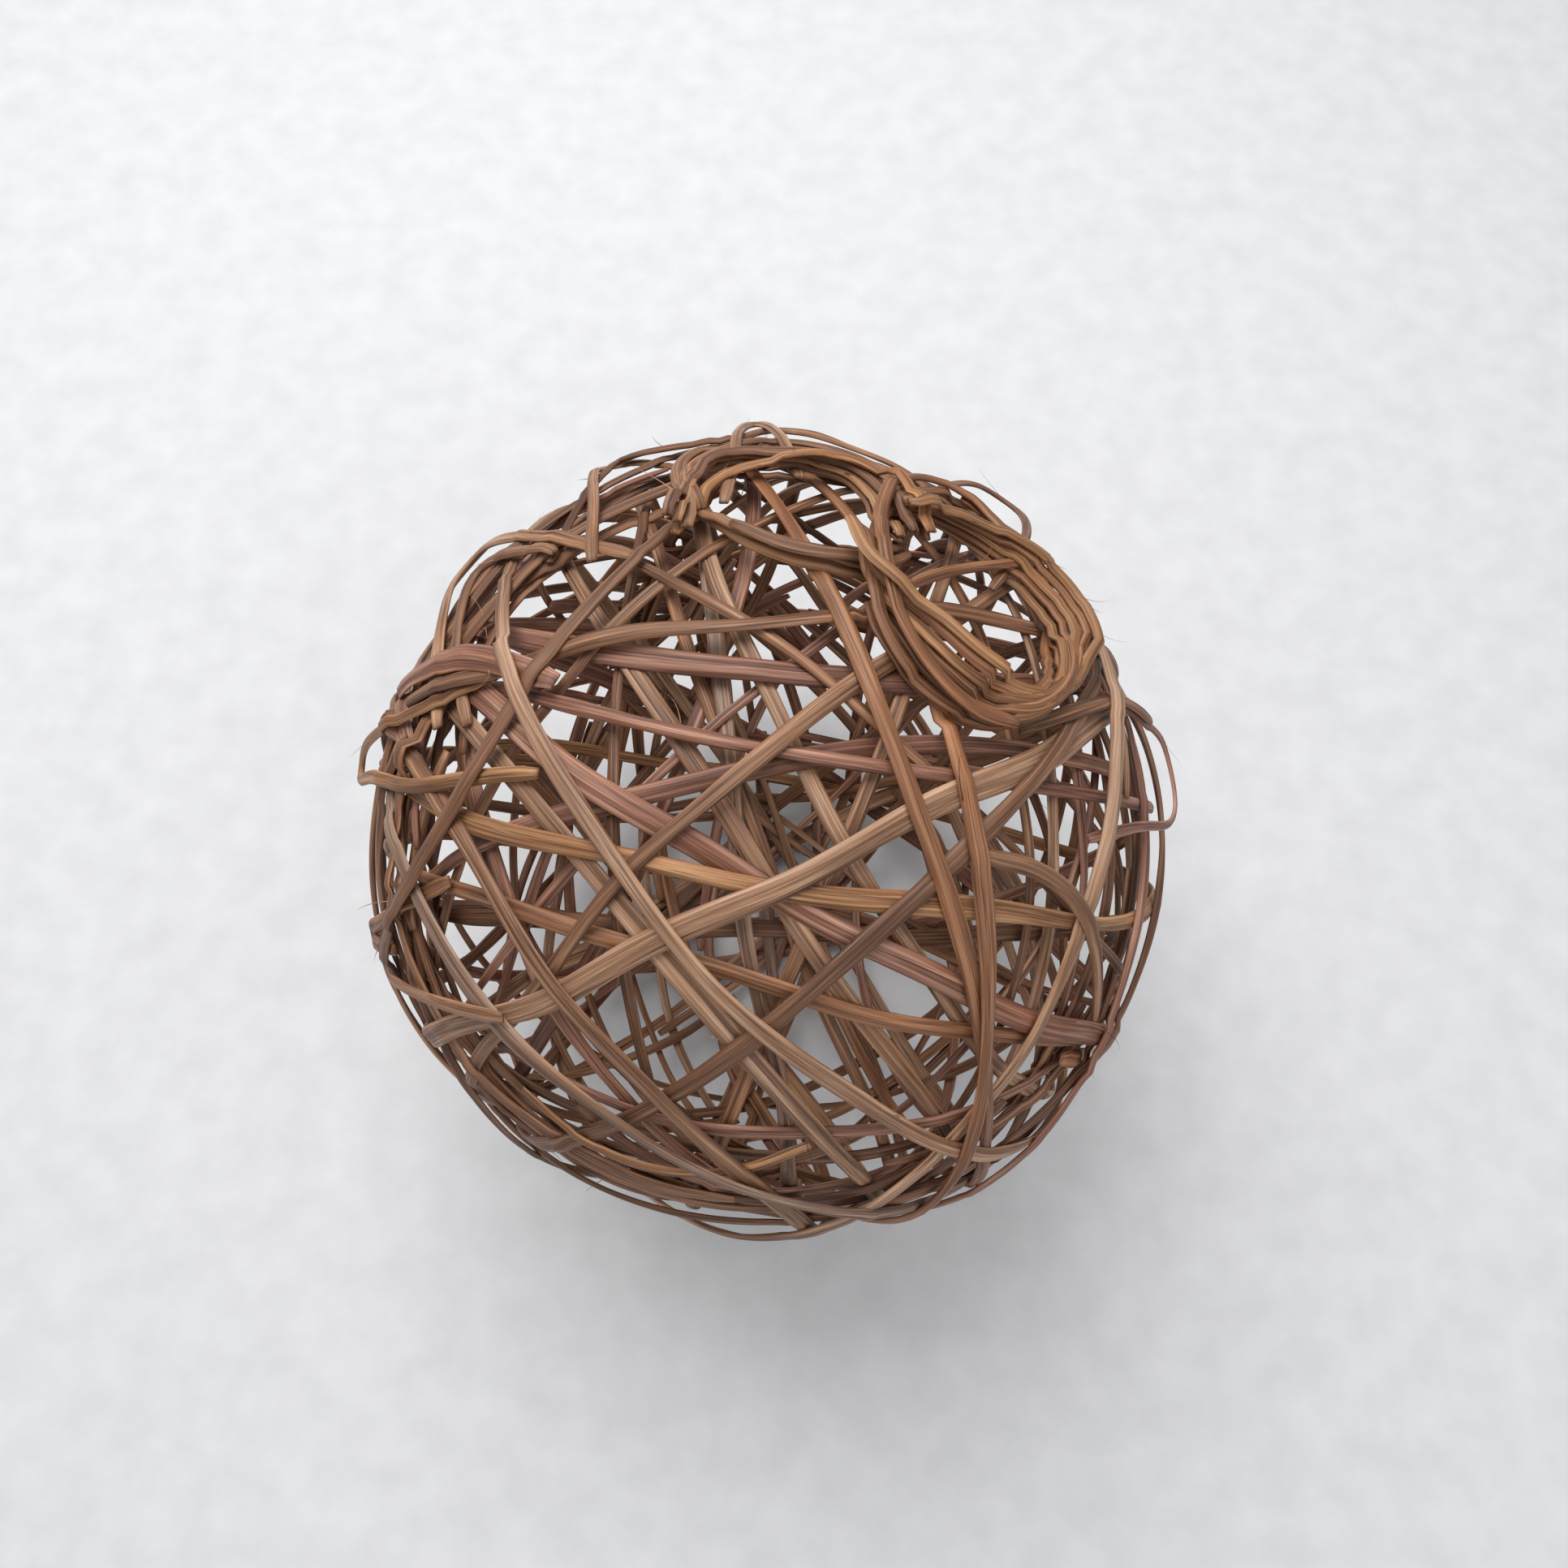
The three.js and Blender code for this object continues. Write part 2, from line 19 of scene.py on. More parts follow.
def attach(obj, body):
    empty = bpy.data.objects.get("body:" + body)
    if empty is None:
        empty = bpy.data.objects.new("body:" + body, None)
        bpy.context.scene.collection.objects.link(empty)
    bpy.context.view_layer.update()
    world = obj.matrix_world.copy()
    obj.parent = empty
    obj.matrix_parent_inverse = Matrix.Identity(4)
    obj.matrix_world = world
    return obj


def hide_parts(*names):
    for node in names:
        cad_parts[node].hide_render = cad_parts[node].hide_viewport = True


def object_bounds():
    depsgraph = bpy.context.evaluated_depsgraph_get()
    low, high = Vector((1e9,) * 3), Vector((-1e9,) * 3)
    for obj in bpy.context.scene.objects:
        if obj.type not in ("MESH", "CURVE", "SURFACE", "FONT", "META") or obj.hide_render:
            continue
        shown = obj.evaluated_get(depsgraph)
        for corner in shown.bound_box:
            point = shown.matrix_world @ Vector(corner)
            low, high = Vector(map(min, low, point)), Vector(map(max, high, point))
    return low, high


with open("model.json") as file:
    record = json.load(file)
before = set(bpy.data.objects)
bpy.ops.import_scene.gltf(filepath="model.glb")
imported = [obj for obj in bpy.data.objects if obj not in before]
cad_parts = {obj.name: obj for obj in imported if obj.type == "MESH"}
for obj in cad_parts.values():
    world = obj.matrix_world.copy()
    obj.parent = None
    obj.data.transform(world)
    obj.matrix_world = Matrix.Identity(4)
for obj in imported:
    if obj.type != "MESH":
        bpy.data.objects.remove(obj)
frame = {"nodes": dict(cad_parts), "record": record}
plain_box = [list(corner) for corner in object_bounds()]
print("the plain model spans", plain_box)

# %% [markdown]
# ## Where the ball is
#
# The ball rests on the floor at height zero. Its centre is the middle of the record's hollow,
# which is a box about the centre, and its radius is set at 0.125 m; the size of the whole model is
# only printed. All other sizes in the lesson are in metres too.

# %% The centre and the radius
hollow = np.array(frame["record"]["physics"]["openings"][0]["box_m"])
CENTRE = hollow.mean(axis=0)
spans = np.array(plain_box[1]) - np.array(plain_box[0])
RADIUS = 0.125
MM = 0.001
print("centre", CENTRE.round(4), "mean span", spans.mean().round(4))

# %% [markdown]
# ## The camera
#
# The ball is seen from high up, nearly from above, and from quite close, so the near strips
# look wider than the far ones. The eye stands a few radii from the centre. A small shift
# places the ball a little left of the middle and below it.

# %% The camera
ELEVATION = math.radians(72)
EYE_DISTANCE = 3.2 * RADIUS
camera_data = bpy.data.cameras.new("camera")
camera_data.sensor_width = 36
camera_data.lens = 27.6
camera_data.shift_x = 0.011
camera_data.shift_y = 0.033
camera_data.clip_start = 0.01
camera = bpy.data.objects.new("camera", camera_data)
bpy.context.scene.collection.objects.link(camera)
eye_direction = Vector((0, -math.cos(ELEVATION), math.sin(ELEVATION)))
camera.location = Vector(CENTRE) + EYE_DISTANCE * eye_direction
camera.rotation_euler = (-eye_direction).to_track_quat("-Z", "Y").to_euler()
bpy.context.scene.camera = camera
print("camera at", camera.location)

# %% [markdown]
# ## The floor
#
# A plain pale sheet, slightly uneven in tone like matt card. It is only something for the ball
# to stand on and to catch its shadow.

# %% Small helpers for node materials


def new_material(name):
    """A material with an empty board and one main shader, ready to be wired."""
    material = bpy.data.materials.new(name)
    material.use_nodes = True
    tree = material.node_tree
    shader = tree.nodes["Principled BSDF"]
    return material, tree, shader


def add_node(tree, kind, inputs=None, **settings):
    """Adds a node, sets its fields, then fills or wires its inputs."""
    node = tree.nodes.new(kind)
    for field, value in settings.items():
        setattr(node, field, value)
    for socket, value in (inputs or {}).items():
        if isinstance(value, bpy.types.NodeSocket):
            tree.links.new(value, node.inputs[socket])
        else:
            node.inputs[socket].default_value = value
    return node


def calculate(tree, operation, first, second=0.0, third=0.0, clamp=False):
    """One step of arithmetic between sockets or numbers."""
    node = add_node(tree, "ShaderNodeMath", operation=operation, use_clamp=clamp)
    for slot, value in enumerate((first, second, third)):
        if isinstance(value, bpy.types.NodeSocket):
            tree.links.new(value, node.inputs[slot])
        else:
            node.inputs[slot].default_value = value
    return node.outputs[0]


def blend_colours(tree, how, share, under, over):
    """Lays one colour over another. Share is a socket or a number from 0 to 1."""
    node = add_node(tree, "ShaderNodeMix", data_type="RGBA", blend_type=how)
    for slot, value in ((0, share), (6, under), (7, over)):
        if isinstance(value, bpy.types.NodeSocket):
            tree.links.new(value, node.inputs[slot])
        else:
            node.inputs[slot].default_value = value
    return node.outputs[2]


def colour_ramp(tree, factor, stops):
    """A ramp of colours or greys: stops are (position, colour)."""
    node = add_node(tree, "ShaderNodeValToRGB", {"Fac": factor})
    ramp = node.color_ramp
    while len(ramp.elements) < len(stops):
        ramp.elements.new(0.5)
    for element, (position, colour) in zip(ramp.elements, stops):
        element.position = position
        element.color = colour
    return node.outputs["Color"]


def from_hex(code, alpha=1.0):
    """A screen colour such as 0x96695a as the linear colour that the shaders use."""
    channels = [(code >> shift & 255) / 255 for shift in (16, 8, 0)]
    linear = [c / 12.92 if c <= 0.04045 else ((c + 0.055) / 1.055) ** 2.4 for c in channels]
    return (*linear, alpha)


# %% The floor
card, card_tree, card_shader = new_material("pale_card")
card_place = add_node(card_tree, "ShaderNodeTexCoord").outputs["Object"]
card_mottle = add_node(card_tree, "ShaderNodeTexNoise", {"Vector": card_place, "Scale": 60.0, "Detail": 6.0})
card_colour = colour_ramp(card_tree, card_mottle.outputs["Fac"],
                          [(0.3, from_hex(0xD2D2D3)), (0.7, from_hex(0xDBDBDC))])
card_tree.links.new(card_colour, card_shader.inputs["Base Color"])
card_shader.inputs["Roughness"].default_value = 0.85
card_shader.inputs["Specular IOR Level"].default_value = 0.2

FLOOR_SIZE = 6.0
floor_mesh = bpy.data.meshes.new("floor")
half_floor = FLOOR_SIZE / 2
floor_mesh.from_pydata([(-half_floor, -half_floor, 0), (half_floor, -half_floor, 0),
                        (half_floor, half_floor, 0), (-half_floor, half_floor, 0)], [], [(0, 1, 2, 3)])
floor_mesh.materials.append(card)
floor = bpy.data.objects.new("floor", floor_mesh)
bpy.context.scene.collection.objects.link(floor)
print("floor", FLOOR_SIZE, "m square")

# %% [markdown]
# ## The light
#
# One very large soft lamp hangs above and a little behind the ball, a weaker one fills in from
# the front, and a pale sky lights the rest. Large lamps give the soft, pooled shadow of a
# bright room.

# %% The lamps and the sky


def soft_lamp(name, place, size, watts):
    """A square lamp that points at the middle of the ball."""
    data = bpy.data.lights.new(name, "AREA")
    data.shape = "SQUARE"
    data.size = size
    data.energy = watts
    lamp = bpy.data.objects.new(name, data)
    lamp.location = place
    lamp.rotation_euler = (Vector(CENTRE) - Vector(place)).to_track_quat("-Z", "Y").to_euler()
    bpy.context.scene.collection.objects.link(lamp)


soft_lamp("key_lamp", (-0.25, 0.55, 1.25), 1.0, 17)
soft_lamp("fill_lamp", (0.7, -0.9, 1.1), 1.4, 4.5)
sky = bpy.data.worlds.new("sky")
sky.use_nodes = True
sky.node_tree.nodes["Background"].inputs["Color"].default_value = (0.95, 0.97, 1.0, 1)
sky.node_tree.nodes["Background"].inputs["Strength"].default_value = 0.47
bpy.context.scene.world = sky
bpy.context.scene.view_settings.view_transform = "Standard"
print("two lamps and a sky")

# %% [markdown]
# ## Reading the route of each strip
#
# In the plain model a strip is a chain of straight boxes: four corners, then four more, and
# so on. Corners of one ring are only a strip's width apart, and rings are much further apart,
# so short edges find the rings and long edges put them in order. The middle of each ring is a
# point of the route, and the spread of its corners is the strip's width.

# %% Reading one route
RING_EDGE = 7 * MM  # longer than any strip is wide, shorter than any facet
SAME_CORNER = 0.02 * MM  # corners this close together are one corner


def read_route(node):
    """The middle points of a strip's rings, in order, and its width."""
    mesh = frame["nodes"][node].data
    seen = {}
    corner_of = []
    for vertex in mesh.vertices:
        key = tuple(round(value / SAME_CORNER) for value in vertex.co)
        corner_of.append(seen.setdefault(key, len(seen)))
    corners = np.zeros((len(seen), 3))
    for vertex in mesh.vertices:
        corners[corner_of[vertex.index]] = vertex.co
    ring_of = list(range(len(corners)))

    def ring(corner):
        while ring_of[corner] != corner:
            corner = ring_of[corner]
        return corner

    links = set()
    for edge in mesh.edges:
        a, b = (corner_of[index] for index in edge.vertices)
        if a == b:
            continue
        if np.linalg.norm(corners[a] - corners[b]) < RING_EDGE:
            ring_of[max(ring(a), ring(b))] = min(ring(a), ring(b))
        else:
            links.add((a, b))
    members = {}
    for corner in range(len(corners)):
        members.setdefault(ring(corner), []).append(corner)
    beside = {name: set() for name in members}
    for a, b in links:
        beside[ring(a)].add(ring(b))
        beside[ring(b)].add(ring(a))
    walk = [min(name for name, others in beside.items() if len(others) == 1)]
    while len(walk) < len(members):
        walk.append(next(name for name in beside[walk[-1]] if name not in walk[-2:-1]))
    middles = np.array([corners[members[name]].mean(axis=0) for name in walk])
    ends = [corners[members[name]] for name in walk]
    width = np.median([np.linalg.norm(four[:, None] - four[None], axis=2).max() for four in ends])
    return middles, float(width)


routes = {name: read_route(name) for name in sorted(frame["nodes"])}
print(len(routes), "routes,", sum(len(middles) for middles, _ in routes.values()), "rings")

# %% [markdown]
# ## From straight facets to bent vine
#
# Split vine is springy, so a real strip bends in one even curve. A curve that passes through
# known points is called an interpolating spline. The kind used here, a Catmull-Rom spline, needs
# only the four nearest points for each stretch, and it is easy to write down.
# The curve is then cut into even steps, short enough that no facet shows.

# %% Bending a route smoothly
STEP = 2.7 * MM
POINTS_PER_FACET = 16  # fine points from which the even steps are then picked


def measure(points):
    """How far along a chain of points each one lies."""
    return np.concatenate([[0], np.cumsum(np.linalg.norm(np.diff(points, axis=0), axis=1))])


def bend_smoothly(middles):
    """Even points on a smooth curve through the middles, and how far out the facets lie there."""
    padded = np.vstack([2 * middles[0] - middles[1], middles, 2 * middles[-1] - middles[-2]])
    part = np.linspace(0, 1, POINTS_PER_FACET, endpoint=False)[:, None]
    curve = []
    facets = []
    for a, b, c, d in zip(padded, padded[1:], padded[2:], padded[3:]):
        bend = (c - a) * part + (2 * a - 5 * b + 4 * c - d) * part**2 + (3 * b - a - 3 * c + d) * part**3
        curve.append(b + bend / 2)
        facets.append(b + (c - b) * part)
    curve = np.vstack([*curve, middles[-1:]])
    facets = np.vstack([*facets, middles[-1:]])
    along = measure(curve)
    even = np.linspace(0, along[-1], round(along[-1] / STEP) + 1)
    points = np.column_stack([np.interp(even, along, column) for column in curve.T])
    heights = np.interp(even, along, np.linalg.norm(facets - CENTRE, axis=1))
    return points, heights


test_points, test_heights = bend_smoothly(routes[min(routes)][0])
print("the first strip has", len(test_points), "steps and lies", test_heights.mean().round(4), "m out")

# %% [markdown]
# ## What makes each strip its own
#
# No two strips of vine are alike. Each wanders a little off its line, swells and thins, and
# leans over to one side and back. All of that is drawn from slow random waves. The dice are
# seeded with the number of the strip, so that the lesson gives the same ball each time.

# %% The strips as data
VINE_THICKNESS = 1.75 * MM
PLAIN_THICKNESS = 1.1 * MM
SIDE_WANDER = 1.1 * MM
WAVES = 4
WIDTH_SWING = 0.09
THICKNESS_SWING = 0.08
FULL_THICKNESS_WIDTH = 4.0 * MM  # narrower strips are also thinner
SMOOTHING = 3  # steps to each side
SWELL = 1.22  # the plain strips are drawn slim, so that they clear one another with flat facets
RING_SWELL = 1.55  # the strips of the twisted rings are the slimmest of all


def unit(vectors):
    """The same vectors at length one."""
    return vectors / np.linalg.norm(vectors, axis=-1, keepdims=True)


def wander(dice, along, shortest, longest):
    """A smooth random curve along a strip, mostly between -1 and 1. Waves are in metres."""
    total = np.zeros(len(along))
    for _ in range(WAVES):
        total += np.sin(2 * np.pi * (along / dice.uniform(shortest, longest) + dice.uniform()))
    return total / math.sqrt(WAVES)


def soften(values, reach):
    """A running mean over `reach` steps to each side, with the ends held."""
    padded = np.pad(values, reach, mode="edge")
    return np.convolve(padded, np.full(2 * reach + 1, 1 / (2 * reach + 1)), mode="valid")


class Strip:
    """One strip of vine: where it runs, and how wide and thick it is at each step."""

    def __init__(self, name, tone, number, middles, width, node=None):
        self.name = name
        self.tone = tone
        self.number = number
        self.node = node
        self.dice = np.random.default_rng(number)
        points, heights = bend_smoothly(middles)
        self.along = measure(points)
        self.outward = unit(points - CENTRE)
        side = self.sideways()
        off = SIDE_WANDER * wander(self.dice, self.along, 0.06, 0.22)
        self.outward = unit(self.outward + side * (off / RADIUS)[:, None])
        self.plain_heights = heights
        self.heights = soften(heights, SMOOTHING)
        self.half_width = width / 2 * (1 + WIDTH_SWING * wander(self.dice, self.along, 0.03, 0.25))
        slim = min(1.0, width / FULL_THICKNESS_WIDTH)
        swing = 1 + THICKNESS_SWING * wander(self.dice, self.along, 0.05, 0.2)
        self.thickness = VINE_THICKNESS * slim * swing

    def sideways(self):
        """The direction across the strip at each step, level with the wall."""
        points = CENTRE + self.outward * RADIUS
        return unit(np.cross(np.gradient(points, axis=0), self.outward))

    def points(self):
        """The middle of the strip at each step."""
        return CENTRE + self.outward * self.heights[:, None]


def strip_of_node(node, number):
    """The strip that stands for one node of the plain model."""
    middles, diagonal = routes[node]
    kind, tone = node.rsplit("_", 1)
    plain_width = math.sqrt(diagonal**2 - PLAIN_THICKNESS**2)
    swell = RING_SWELL if kind.startswith("ring") else SWELL
    return Strip("vine_" + kind, tone, number, middles, swell * plain_width, node)


strips = [strip_of_node(node, number) for number, node in enumerate(routes)]
print(len(strips), "strips,", sum(len(strip.along) for strip in strips), "steps")

# %% [markdown]
# ## Loops, bundles and rim strands
#
# The plain model leaves out what is too fine or too tangled for solids: loops that stand off the
# rim, a wide band that is folded over the side, two thick bundles near the top, and the many
# short strands that close up the rim. They are laid out as they look from the camera. A place
# has a bearing, clockwise from the top, and a reach from 0 in the middle to 1 at the rim.
# A third number says how far it stands off the middle of the wall, in millimetres.

# %% Places as seen from the camera
WALL = RADIUS - 3 * MM  # the middle of the woven wall
EYE = EYE_DISTANCE / RADIUS
RIM_SLOPE = 1 / math.sqrt(EYE * EYE - 1)
view = np.array(camera.rotation_euler.to_matrix())  # columns: right, up, towards the eye


def place(bearing, reach, rise):
    """A point near the ball's wall, where the camera sees it at this bearing and reach."""
    slope = min(reach, 1.0) * RIM_SLOPE
    rest = max(0.0, EYE * EYE - (1 + slope * slope) * (EYE * EYE - 1))
    far = (EYE - math.sqrt(rest)) / (1 + slope * slope)
    angle = math.radians(bearing)
    seen = unit(np.array([far * slope * math.sin(angle), far * slope * math.cos(angle), EYE - far]))
    return CENTRE + view @ seen * (WALL + rise * MM)


print("the rim at the top is at", place(0, 1, 0).round(3))

# %% [markdown]
# ### The loops
#
# Here a strip springs away from the weave before it is tucked in again. A handful of places is
# enough for each, because the smooth curve fills in the bend. One is a wide band that is folded
# over the left side, and the short ones are cut ends.

# %% Loops that stand off the wall
# Each loop has a tone, a width in millimetres and its places.
LOOPS = [
    ("light", 4.4, [(288, .88, 2), (296, .93, 3), (304, .98, 4), (310, 1, 6), (315, 1, 7), (320, .98, 4),
                    (327, .9, 3), (335, .8, 2)]),
    ("tan", 4.0, [(290, .82, 1), (298, .89, 3), (306, .95, 4), (312, .98, 5), (317, .96, 4), (323, .9, 2)]),
    ("rose", 7.4, [(283, .93, 0), (288, .97, 4), (292, .98, 7), (296, .93, 8), (300, .86, 7), (303, .77, 4),
                   (306, .66, 2)]),
    ("golden", 4.0, [(285, .6, 3), (280, .8, 4), (278, .93, 5), (278, 1, 8), (281, 1, 10), (285, .98, 7),
                     (291, .9, 5), (300, .82, 3)]),
    ("orange", 4.4, [(262, .82, 1), (259, .92, 3), (257, 1, 7), (255, 1, 8), (253, .97, 6)]),
    ("brown", 3.6, [(322, .9, 1), (331, .97, 4), (338, 1, 7), (346, .99, 5), (355, .98, 6), (3, 1, 8),
                    (12, .99, 5), (22, .98, 4), (34, .92, 1)]),
    ("tan", 3.4, [(328, .82, 2), (332, .93, 5), (335, 1, 7), (340, 1, 4), (348, .95, 1)]),
    ("light", 3.4, [(352, .84, 4), (355, .94, 7), (358, 1, 9), (2, .98, 9), (5, .9, 5)]),
    ("brown", 3.0, [(20, .88, 2), (26, .96, 6), (32, 1, 9), (38, 1, 9), (42, .93, 6), (43, .84, 2)]),
    ("rose", 3.0, [(64, .9, 1), (71, .97, 4), (77, 1, 8), (83, 1, 10), (88, .99, 7), (90, .92, 4),
                   (91, .82, 1)]),
    ("tan", 4.6, [(120, .97, 3), (112, .9, 5), (104, .8, 6), (98, .68, 5), (95, .55, 3)]),
    ("brown", 4.2, [(66, .72, 2), (68, .86, 4), (70, .95, 5), (74, .99, 3)]),
]
for tone, width, places in LOOPS:
    middles = np.array([place(*spot) for spot in places])
    name = "loop_%02d" % (len(strips) - len(routes) + 1)
    strips.append(Strip(name, tone, len(strips), middles, width * MM))
print(len(LOOPS), "loops")

# %% [markdown]
# ### The bundles
#
# Near the top, several strips run side by side like the strands of a flat rope. One spine
# is drawn, and each strip keeps its own lane beside it. Turning all the lanes together about the
# spine twists the whole band, as a maker's fingers do.

# %% Bundles: strips side by side that twist round one another
# Each bundle has a tone, a number of strips, a number of twists and the places of its spine.
BUNDLES = [
    ("orange", 5, 1.3, [(17.6, .77), (22.8, .682), (33.4, .644), (49.6, .626), (62, .7), (63.4, .816),
                        (58.1, .884), (49.5, .906), (40, .9), (29.5, .886), (22.9, .859), (17, .83)]),
    ("tan", 4, 0.8, [(344, .79), (346.6, .84), (348.8, .889), (354.3, .917), (4.7, .922), (13.5, .914),
                     (23.2, .843), (28.6, .762)]),
]
BUNDLE_WIDTH = 3.9 * MM
LANE = 2.7 * MM
LANE_ON_EDGE = 0.55  # the part of a lane that is left where the band stands on edge
BUNDLE_RISE = 6.5
TWIST_START = 0.9  # radians
SPINE_STRIDE = 4


def bundle_middles(places, lane, turns):
    """The route of one strip of a bundle, in its own lane of the twisting band."""
    spine, _ = bend_smoothly(np.array([place(*spot, BUNDLE_RISE) for spot in places]))
    spine = spine[::SPINE_STRIDE]
    outwards = unit(spine - CENTRE)
    sideways = unit(np.cross(np.gradient(spine, axis=0), outwards))
    twist = TWIST_START + 2 * np.pi * turns * np.linspace(0, 1, len(spine))
    return (spine + sideways * (lane * np.cos(twist))[:, None]
            + outwards * (LANE_ON_EDGE * lane * np.sin(twist))[:, None])


for tone, count, turns, places in BUNDLES:
    for lane in range(count):
        offset = (lane - (count - 1) / 2) * LANE
        middles = bundle_middles(places, offset, turns)
        own_tone = tone if lane % 2 else "golden"
        name = "bundle_%s_%d" % (tone, lane + 1)
        strips.append(Strip(name, own_tone, len(strips), middles, BUNDLE_WIDTH))
print(sum(count for _, count, _, _ in BUNDLES), "strips in bundles")

# %% [markdown]
# ### The rim strands
#
# Many shorter strips follow the rim and close it up. Each is an arc from one bearing to another,
# bowed a little outwards, and it weaves in and out as it goes. A formula gives its places.

# %% Strands along the rim
# Bearing and bearing, reach and reach, width in millimetres, tone.
RIM_STRANDS = [
    (138, 262, .90, .93, 3.8, "brown"), (165, 250, .84, .97, 3.4, "tan"), (118, 215, .97, .86, 4.0, "rose"),
    (185, 300, .93, .90, 4.2, "tan"), (205, 285, .98, .88, 3.8, "brown"), (150, 235, .95, .95, 3.4, "orange"),
    (255, 330, .93, .90, 4.2, "tan"), (268, 345, .90, .97, 3.6, "rose"), (60, 130, .93, .97, 3.6, "brown"),
    (95, 160, .97, .90, 4.0, "tan"), (172, 224, .80, .90, 3.4, "golden"), (285, 350, .84, .92, 3.8, "orange"),
    (240, 296, .86, .96, 4.6, "brown"), (30, 84, .97, .92, 3.4, "tan"), (310, 372, .93, .95, 3.6, "brown"),
]
DEGREES_APART = 14
BOW = 0.035


def rim_place(strand, part, number):
    """A place on a rim strand, from 0 at its begin to 1 at its end."""
    begin, end, reach_begin, reach_end, _, _ = strand
    reach = reach_begin + (reach_end - reach_begin) * part + BOW * math.sin(math.pi * part)
    weave = 2.5 * math.sin(1.9 * number) + 2 * math.sin(5 * part + number)
    return place(begin + (end - begin) * part, reach, weave)


for strand in RIM_STRANDS:
    begin, end, _, _, width, tone = strand
    parts = np.linspace(0, 1, max(5, round((end - begin) / DEGREES_APART)))
    number = len(strips)
    middles = np.array([rim_place(strand, part, number) for part in parts])
    strips.append(Strip("rim_strand_%02d" % number, tone, number, middles, width * MM))
print(len(strips), "strips in all")

# %% [markdown]
# ## Settling the weave
#
# The smooth strips lie a little further out than the facets did, and they are thicker, so here
# and there one would cut through another. In a real ball they push one another aside and share
# the bend. The same is done here: first every crossing is found and the plain model says which
# strip lies outside. Then, again and again, each strip is eased towards a smooth line and pushed
# clear of those it touches.

# %% Finding the crossings
starts = np.cumsum([0] + [len(strip.along) for strip in strips])
owner = np.concatenate([np.full(len(strip.along), strip.number) for strip in strips])
outward = np.vstack([strip.outward for strip in strips])
across = np.vstack([strip.sideways() for strip in strips])
half_width = np.concatenate([strip.half_width for strip in strips])
thickness = np.concatenate([strip.thickness for strip in strips])
plain_heights = np.concatenate([strip.plain_heights for strip in strips])
SAME_STRIP = 12  # steps of one strip that are too near each other to count as a crossing
SLACK = 0.3 * MM


def find_touching():
    """Pairs of steps whose strips overlap as seen from the centre, and how deep the overlap is."""
    tree = KDTree(len(outward))
    for index, direction in enumerate(outward):
        tree.insert(direction * RADIUS, index)
    tree.balance()
    widest = 2 * half_width.max() + SLACK
    first = []
    second = []
    for index, direction in enumerate(outward):
        for _, other, _ in tree.find_range(direction * RADIUS, widest):
            if other > index:
                first.append(index)
                second.append(other)
    first = np.array(first)
    second = np.array(second)
    near = (owner[first] == owner[second]) & (second - first < SAME_STRIP)
    first = first[~near]
    second = second[~near]
    turned = np.abs((across[first] * across[second]).sum(axis=1))
    a = half_width[first]
    b = half_width[second]
    reach = np.sqrt(a * a + b * b + 2 * a * b * turned) + SLACK
    gap = np.linalg.norm(outward[first] - outward[second], axis=1) * RADIUS
    touching = gap < reach
    return first[touching], second[touching], (gap / reach)[touching]


first, second, apart = find_touching()
print(len(first), "pairs of steps touch")

# %% Which strip lies outside
RUN_BREAK = 3  # steps without a touch before a new crossing starts


def order_of_crossings(first, second):
    """For each pair, 1 where the first strip lies outside and -1 where the second does."""
    sorting = np.lexsort((first, owner[second], owner[first]))
    a = first[sorting]
    b = second[sorting]
    new_pair = (np.diff(owner[a]) != 0) | (np.diff(owner[b]) != 0)
    crossing = np.concatenate([[0], np.cumsum(new_pair | (np.diff(a) > RUN_BREAK))])
    lead = np.bincount(crossing, plain_heights[a] - plain_heights[b])
    order = np.empty(len(first))
    order[sorting] = np.where(lead[crossing] >= 0, 1.0, -1.0)
    return order, crossing[-1] + 1


order, crossing_count = order_of_crossings(first, second)
print(crossing_count, "crossings")

# %% Pushing the strips clear of one another
AIR = 0.06 * MM
SETTLE_ROUNDS = 420
PUSH_ONLY_ROUNDS = 40
STIFF_REACH = 5
STIFFNESS = 0.16
HOLD = 0.02
# A strip is thinner near its edges, so strips that only touch at their edges need less room.
EDGE_SHARE = 0.55
EDGE_START = 0.75
PUSH_SHARE = 0.8
UNDERSIDE = -0.3  # directions that point down more steeply than this


def strongest_at(places):
    """A function that picks, from one push for each pair, the strongest at each place."""
    sorting = np.argsort(places, kind="stable")
    begins = np.flatnonzero(np.diff(places[sorting], prepend=-1))
    at = places[sorting][begins]
    return lambda pushes: (at, np.maximum.reduceat(pushes[sorting], begins))


